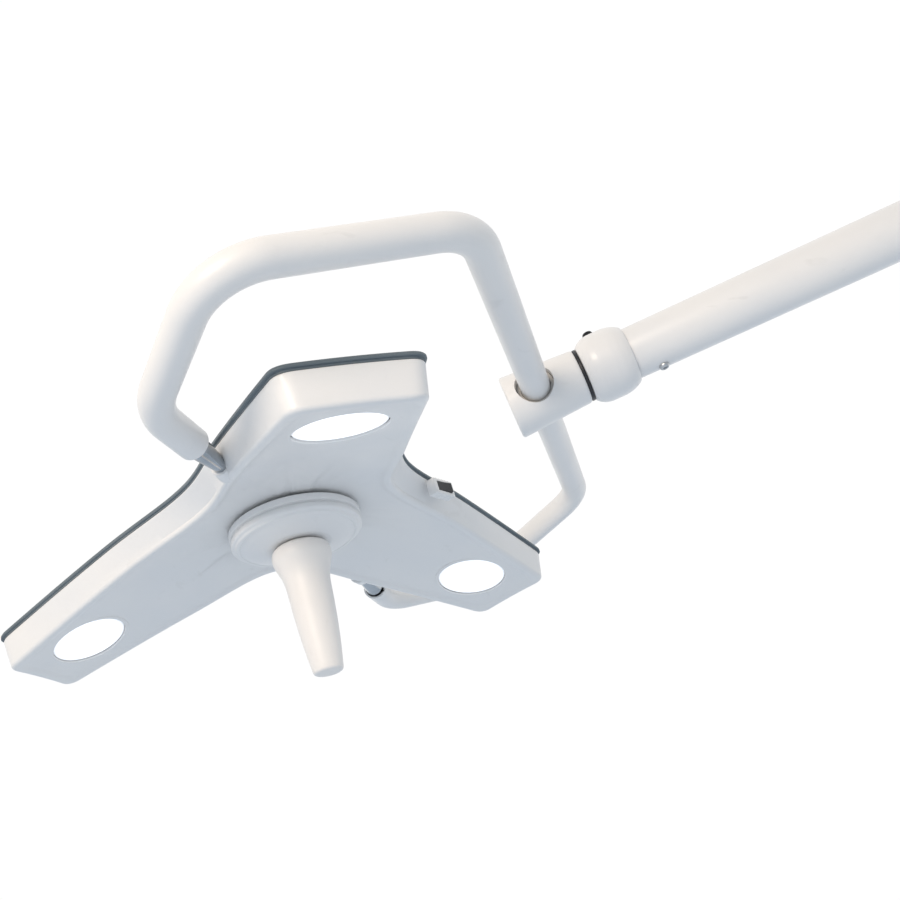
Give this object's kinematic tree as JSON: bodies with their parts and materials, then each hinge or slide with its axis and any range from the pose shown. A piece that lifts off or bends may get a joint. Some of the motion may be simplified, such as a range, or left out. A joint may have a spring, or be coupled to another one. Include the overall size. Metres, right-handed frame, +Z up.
{
  "type": "dental operating light",
  "caption": "Wall-arm operating light: flat three-lobed lamp head with a centre grip, tilting in a tube yoke that swings and rolls in a hub on the arm's end.",
  "frame": {"origin": "centre of the wall plate's back face", "axes": "+X out of the wall plate's back face, into the wall; the arm and lamp reach along -X; +Z up; +Y across, along the yoke's main bar"},
  "size_m": [1.103, 0.6848, 0.4239],
  "materials": {
    "painted_metal": "semi-gloss powder coat, warm white",
    "head_plastic": "satin moulded plastic, warm white",
    "handle_plastic": "matt autoclavable plastic",
    "turned_steel": "turned and brushed",
    "alloy": "as cast and machined",
    "black_plastic": "moulded black",
    "black_oxide": "black oxide",
    "gasket_rubber": "dark grey moulded rubber",
    "bearing_nylon": "natural nylon",
    "lens_clear": "clear, fine prismatic inside",
    "reflector": "polished",
    "circuit_board": "solder resist"
  },
  "bodies": {
    "wall": {"wall_bracket": "painted_metal", "wall_screw_1": "turned_steel", "wall_screw_2": "turned_steel", "wall_screw_3": "turned_steel", "wall_screw_4": "turned_steel", "socket_bush": "bearing_nylon"},
    "swivel": {"swivel_fork": "painted_metal", "swivel_washer": "black_plastic", "spigot_clip": "turned_steel", "pivot_pin": "turned_steel", "pivot_cap": "black_plastic"},
    "arm": {"arm_tube": "painted_metal", "arm_knuckle": "alloy", "pivot_bush": "bearing_nylon", "brake_disc_near": "black_plastic", "brake_disc_far": "black_plastic", "arm_collar": "painted_metal", "collar_bush": "bearing_nylon", "friction_ring": "black_plastic", "brake_screw": "black_oxide", "collar_screw": "turned_steel"},
    "hub": {"hub_body": "painted_metal", "hub_spindle": "turned_steel", "spindle_clip": "turned_steel", "hub_end_cap": "painted_metal", "bar_bush_near": "bearing_nylon", "bar_bush_far": "bearing_nylon"},
    "yoke": {"yoke_tube": "painted_metal", "stub_bush_near": "bearing_nylon", "stub_bush_far": "bearing_nylon"},
    "head": {"head_shell": "head_plastic", "back_gasket": "gasket_rubber", "back_cover": "head_plastic", "lens_1": "lens_clear", "lens_2": "lens_clear", "lens_3": "lens_clear", "reflector_1": "reflector", "reflector_2": "reflector", "reflector_3": "reflector", "led_board_1": "circuit_board", "led_board_2": "circuit_board", "led_board_3": "circuit_board", "heat_sink_1": "alloy", "heat_sink_2": "alloy", "heat_sink_3": "alloy", "handle_drum": "head_plastic", "handle_spindle": "turned_steel", "driver_board": "circuit_board", "tilt_pivot_near": "turned_steel", "tilt_pivot_far": "turned_steel", "switch_housing": "head_plastic"},
    "handle": {"handle_grip": "handle_plastic"},
    "rocker": {"switch_rocker": "black_plastic"}
  },
  "joints": [
    {"name": "wall_swivel", "type": "hinge", "parent": "wall", "child": "swivel", "pos_m": [-0.07, 0, 0], "axis": [0, 0, 1], "range_deg": [-80, 80]},
    {"name": "arm_rise", "type": "hinge", "parent": "swivel", "child": "arm", "pos_m": [-0.07, 0, 0.095], "axis": [0, 1, 0], "range_deg": [-27, 48]},
    {"name": "hub_roll", "type": "hinge", "parent": "arm", "child": "hub", "pos_m": [-0.60259, 0, -0.07805], "axis": [0.9511, 0, 0.309], "range_deg": [-160, 160]},
    {"name": "yoke_swing", "type": "hinge", "parent": "hub", "child": "yoke", "pos_m": [-0.60259, 0, -0.07805], "axis": [0, 1, 0], "range_deg": [-60, 60]},
    {"name": "head_tilt", "type": "hinge", "parent": "yoke", "child": "head", "pos_m": [-0.82093, 0, -0.17526], "axis": [0, 1, 0], "range_deg": [-100, 100]},
    {"name": "handle_twist", "type": "hinge", "parent": "head", "child": "handle", "pos_m": [-0.82068, 0, -0.20254], "axis": [0.247, 0, -0.969], "range_deg": [0, 30]},
    {"name": "switch_rock", "type": "hinge", "parent": "head", "child": "rocker", "pos_m": [-0.70116, 0.04344, -0.13389], "axis": [-0.247, 0, 0.969], "range_deg": [0, 10]}
  ]
}
